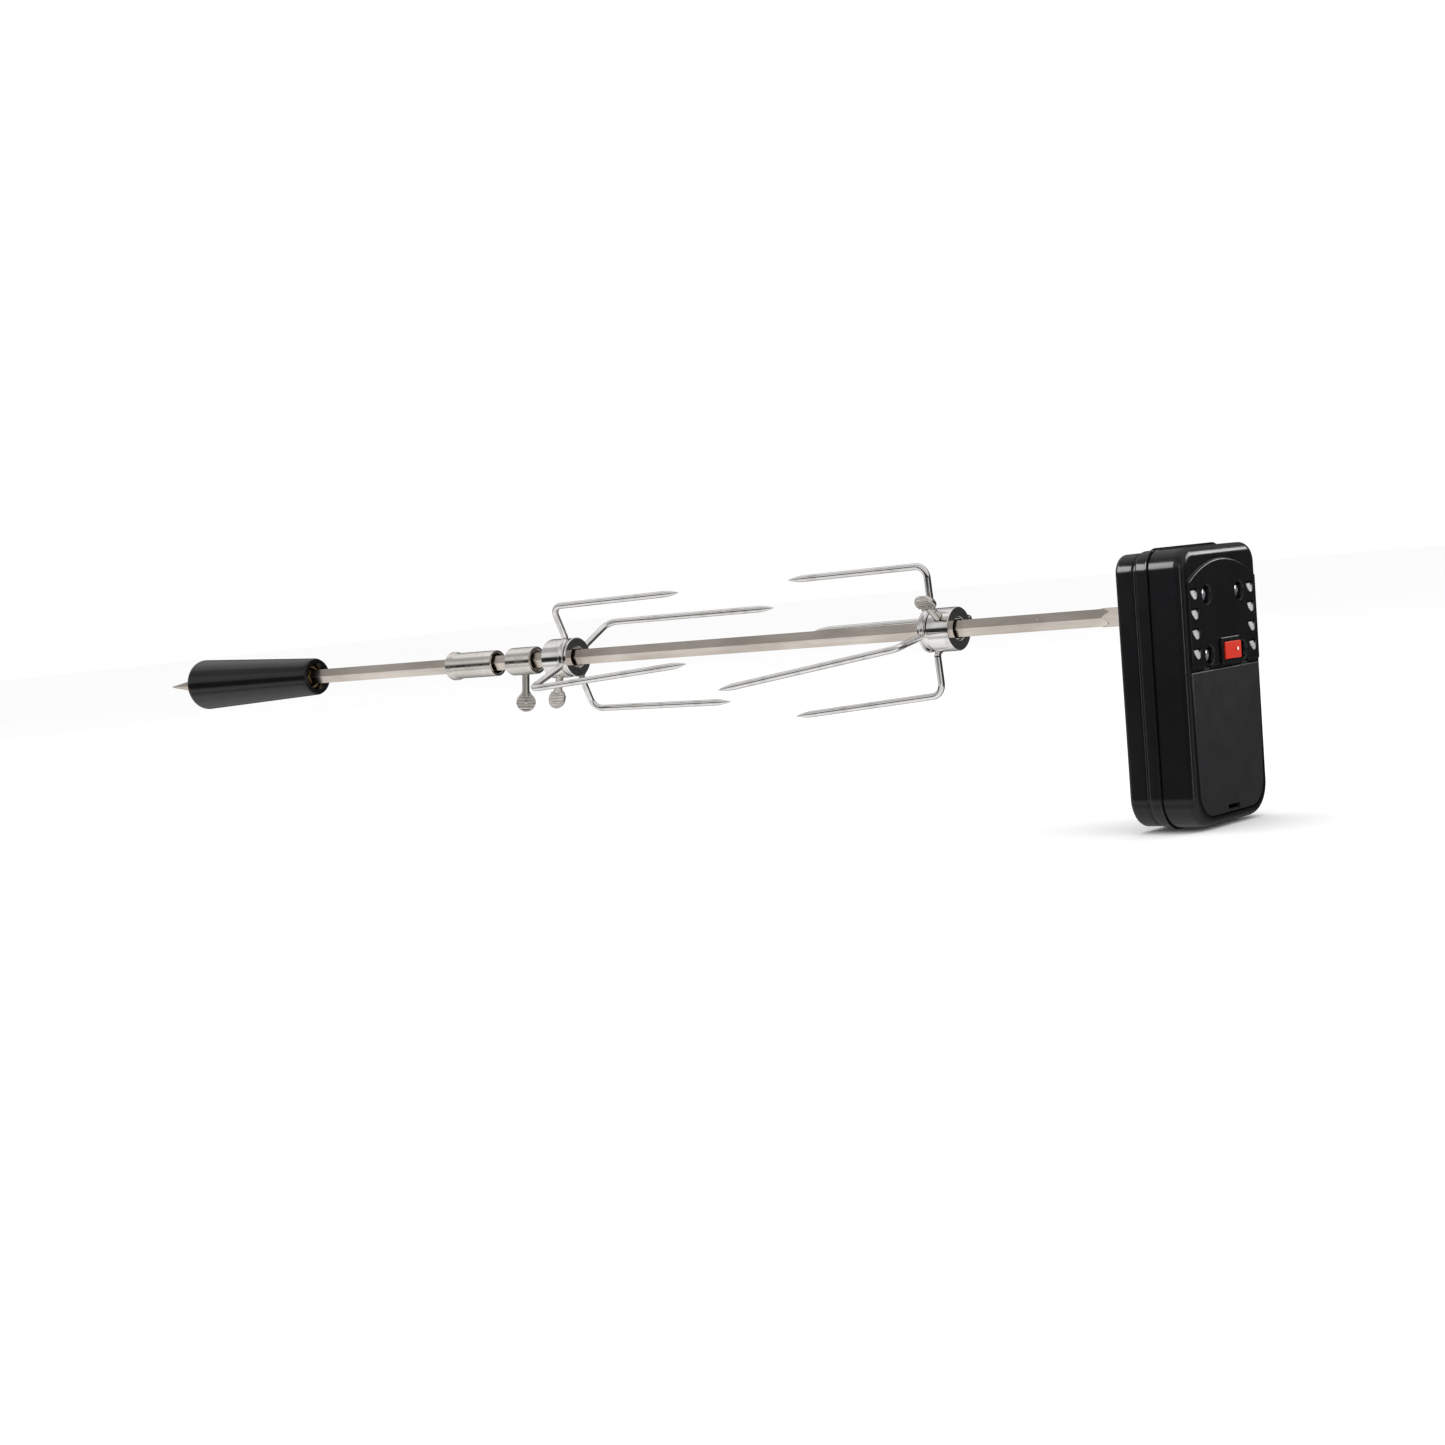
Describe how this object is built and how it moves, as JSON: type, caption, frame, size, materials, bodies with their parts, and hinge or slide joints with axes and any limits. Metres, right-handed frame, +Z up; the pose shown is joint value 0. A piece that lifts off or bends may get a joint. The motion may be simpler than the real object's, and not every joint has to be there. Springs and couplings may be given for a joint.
{
  "type": "rotisserie spit roaster",
  "caption": "Grill rotisserie: hexagonal spit with pointed tip and grip handle, two pronged forks, stop collar, bushing, and a battery motor housing with rocker switch.",
  "frame": {"origin": "on the motor housing's flat rear face, 60 mm under the spit's axis, on the housing's centre plane", "axes": "+X out of the housing's front, so the spit runs along -X; +Y to the right seen from the front; +Z up"},
  "size_m": [0.8668, 0.0906, 0.1542],
  "materials": {
    "black_plastic": "semi-gloss moulded black",
    "door_plastic": "satin charcoal",
    "gloss_black": "gloss",
    "handle_black": "gloss black grip",
    "red_plastic": "red rocker",
    "spit_steel": "warm grey drawn steel",
    "steel": "plain steel",
    "nickel_steel": "satin nickel plate",
    "chrome": "bright chrome plate",
    "screw_steel": "dark zinc",
    "brass": "plain brass",
    "gear_plastic": "natural acetal",
    "cell_jacket": "printed-free sleeve"
  },
  "bodies": {
    "motor_unit": {"rear_shell": "black_plastic", "front_shell": "black_plastic", "housing_screw_1": "screw_steel", "housing_screw_2": "screw_steel", "housing_screw_3": "screw_steel", "housing_screw_4": "screw_steel", "switch_body": "gloss_black", "gear_plate_rear": "steel", "gear_plate_front": "steel", "gear_pin_1": "steel", "gear_pin_2": "steel", "gear_pin_3": "steel", "gear_pin_4": "steel", "motor_can": "steel", "socket_bush": "brass", "battery_partition": "black_plastic", "contact_block": "black_plastic", "contact_bridge": "brass", "contact_spring_1": "chrome", "contact_spring_2": "chrome", "contact_plate_1": "brass", "contact_plate_2": "brass", "battery_1": "cell_jacket", "battery_2": "cell_jacket"},
    "battery_door": {"battery_door": "door_plastic"},
    "switch_rocker": {"switch_rocker": "red_plastic"},
    "motor_pinion": {"motor_pinion": "brass"},
    "gear_1": {"gear_1": "gear_plastic"},
    "gear_2": {"gear_2": "gear_plastic"},
    "gear_3": {"gear_3": "gear_plastic"},
    "gear_4": {"gear_4": "gear_plastic"},
    "drive_socket": {"drive_socket": "steel", "output_gear": "gear_plastic"},
    "spit": {"spit_rod": "spit_steel"},
    "handle": {"handle_grip": "handle_black", "handle_ferrule": "brass"},
    "grill_bushing": {"grill_bushing": "nickel_steel"},
    "stop_collar": {"stop_collar": "nickel_steel"},
    "collar_screw": {"collar_screw": "nickel_steel"},
    "left_fork": {"left_fork_hub": "chrome", "left_fork_wire_a": "chrome", "left_fork_wire_b": "chrome"},
    "left_fork_screw": {"left_fork_screw": "nickel_steel"},
    "right_fork": {"right_fork_hub": "chrome", "right_fork_wire_a": "chrome", "right_fork_wire_b": "chrome"},
    "right_fork_screw": {"right_fork_screw": "nickel_steel"}
  },
  "joints": [
    {"name": "drive_spin", "type": "hinge", "parent": "motor_unit", "child": "drive_socket", "pos_m": [0.014, 0, 0.06], "axis": [1, 0, 0], "continuous": true},
    {"name": "gear_1_spin", "type": "hinge", "parent": "motor_unit", "child": "gear_1", "pos_m": [0.012, 0, 0.0798], "axis": [1, 0, 0], "continuous": true},
    {"name": "gear_2_spin", "type": "hinge", "parent": "motor_unit", "child": "gear_2", "pos_m": [0.012, 0.01305, 0.0798], "axis": [1, 0, 0], "continuous": true},
    {"name": "gear_3_spin", "type": "hinge", "parent": "motor_unit", "child": "gear_3", "pos_m": [0.012, 0.02501, 0.07769], "axis": [1, 0, 0], "continuous": true},
    {"name": "gear_4_spin", "type": "hinge", "parent": "motor_unit", "child": "gear_4", "pos_m": [0.012, 0.02951, 0.06787], "axis": [1, 0, 0], "continuous": true},
    {"name": "motor_spin", "type": "hinge", "parent": "motor_unit", "child": "motor_pinion", "pos_m": [0.025, 0.02951, 0.05752], "axis": [1, 0, 0], "continuous": true},
    {"name": "door_swing", "type": "hinge", "parent": "motor_unit", "child": "battery_door", "pos_m": [0.041, 0, 0.0292], "axis": [0, -1, 0], "range_deg": [0, 110]},
    {"name": "switch_rock", "type": "hinge", "parent": "motor_unit", "child": "switch_rocker", "pos_m": [0.0395, 0.0025, 0.038], "axis": [0, 0, 1], "range_deg": [0, 16]},
    {"name": "spit_pull", "type": "slide", "parent": "drive_socket", "child": "spit", "axis": [-1, 0, 0], "range_m": [0, 0.06]},
    {"name": "handle_pull", "type": "slide", "parent": "spit", "child": "handle", "axis": [-1, 0, 0], "range_m": [0, 0.17]},
    {"name": "collar_slide", "type": "slide", "parent": "spit", "child": "stop_collar", "axis": [1, 0, 0], "range_m": [-0.1, 0.006]},
    {"name": "bushing_spin", "type": "hinge", "parent": "stop_collar", "child": "grill_bushing", "pos_m": [-0.51, 0, 0.06], "axis": [1, 0, 0], "continuous": true},
    {"name": "collar_screw_turn", "type": "hinge", "parent": "stop_collar", "child": "collar_screw", "pos_m": [-0.4646, -0.00278, 0.0402], "axis": [0, -0.1392, -0.9903], "range_deg": [0, 360]},
    {"name": "left_fork_slide", "type": "slide", "parent": "spit", "child": "left_fork", "axis": [1, 0, 0], "range_m": [-0.006, 0.05]},
    {"name": "left_fork_screw_turn", "type": "hinge", "parent": "left_fork", "child": "left_fork_screw", "pos_m": [-0.4323, -0.00664, 0.04114], "axis": [0, -0.3322, -0.9432], "range_deg": [0, 360]},
    {"name": "right_fork_slide", "type": "slide", "parent": "spit", "child": "right_fork", "axis": [1, 0, 0], "range_m": [-0.05, 0.085]},
    {"name": "right_fork_screw_turn", "type": "hinge", "parent": "right_fork", "child": "right_fork_screw", "pos_m": [-0.1335, -0.01597, 0.07204], "axis": [0, -0.7986, 0.6018], "range_deg": [0, 360]}
  ],
  "couplings": [
    {"joint": "gear_1_spin", "follows": "drive_spin", "ratio": -4.5},
    {"joint": "gear_2_spin", "follows": "drive_spin", "ratio": 11.812},
    {"joint": "gear_3_spin", "follows": "drive_spin", "ratio": -28.055},
    {"joint": "gear_4_spin", "follows": "drive_spin", "ratio": 56.109},
    {"joint": "motor_spin", "follows": "drive_spin", "ratio": -128.25}
  ]
}
